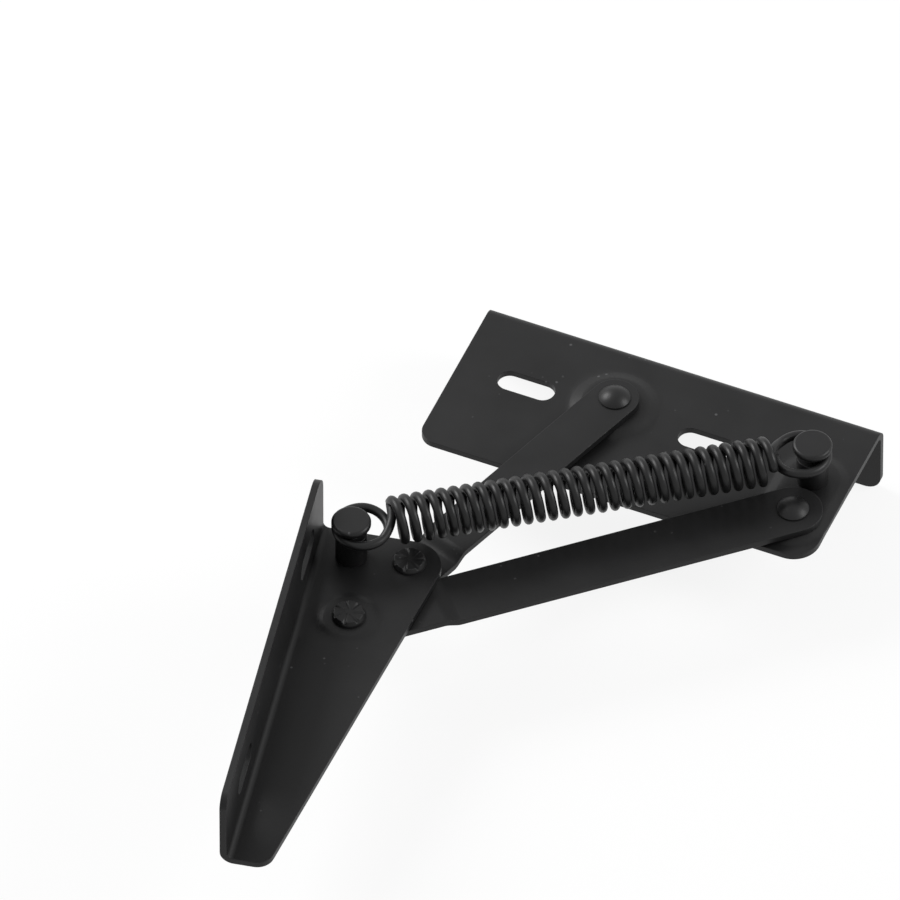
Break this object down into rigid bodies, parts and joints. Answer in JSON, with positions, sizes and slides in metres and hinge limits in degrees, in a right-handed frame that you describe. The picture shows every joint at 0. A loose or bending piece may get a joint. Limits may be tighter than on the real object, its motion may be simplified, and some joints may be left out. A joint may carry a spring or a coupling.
{
  "type": "sprung folding bed hinge",
  "caption": "Black coated steel folding bed hinge: slotted frame bracket and bed plate joined by joggled links, with a tension spring hooked between posts.",
  "frame": {"origin": "centre of the bracket flange's two slots, on the flange's outer face", "axes": "+Z along the pivots towards the spring's side, +Y along the bracket flange to its wide end, -X out of the flange's face"},
  "size_m": [0.149, 0.2283, 0.056],
  "materials": {
    "coated_sheet": "satin black coating with fine grain",
    "rivet_steel": "satin black coating",
    "spring_wire": "semi-gloss black coating"
  },
  "bodies": {
    "frame_bracket": {"frame_bracket": "coated_sheet", "upper_frame_rivet": "rivet_steel", "lower_frame_rivet": "rivet_steel", "stop_bush": "rivet_steel", "seat_washer": "rivet_steel"},
    "lower_link": {"lower_link": "coated_sheet"},
    "bed_plate": {"bed_plate": "coated_sheet", "lower_bed_rivet": "rivet_steel", "upper_bed_rivet_tail": "rivet_steel", "bed_spring_post": "rivet_steel"},
    "upper_link": {"upper_link": "coated_sheet", "upper_bed_rivet_head": "rivet_steel"},
    "frame_post": {"frame_spring_post": "rivet_steel"},
    "spring": {"tension_spring": "spring_wire"}
  },
  "joints": [
    {"name": "lower_link_turn", "type": "hinge", "parent": "frame_bracket", "child": "lower_link", "pos_m": [0.0164, 0.0301, -0.0145], "axis": [0, 0, 1], "range_deg": [-78, 0], "stiffness_Nm_per_rad": 1, "springref_deg": 143.24},
    {"name": "bed_plate_turn", "type": "hinge", "parent": "lower_link", "child": "bed_plate", "pos_m": [0.1308, 0.1004, -0.0145], "axis": [0, 0, 1], "range_deg": [0, 26.12]},
    {"name": "upper_link_turn", "type": "hinge", "parent": "frame_bracket", "child": "upper_link", "pos_m": [0.0288, 0.0542, -0.0145], "axis": [0, 0, 1], "range_deg": [-100.11, 0]},
    {"name": "spring_turn", "type": "hinge", "parent": "frame_bracket", "child": "frame_post", "pos_m": [0.0121, 0.0534, 0], "axis": [0, 0, 1], "range_deg": [-72.91, 0]},
    {"name": "spring_stretch", "type": "slide", "parent": "frame_post", "child": "spring", "axis": [0.8925, 0.451, 0], "range_m": [0, 0.02222], "deforming": ["tension_spring"]}
  ],
  "couplings": [
    {"joint": "bed_plate_turn", "follows": "lower_link_turn", "ratio": -0.33429},
    {"joint": "upper_link_turn", "follows": "lower_link_turn", "ratio": 1.2828},
    {"joint": "spring_turn", "follows": "lower_link_turn", "ratio": 0.93412},
    {"joint": "spring_stretch", "follows": "lower_link_turn", "m_per_rad": -0.016286}
  ]
}
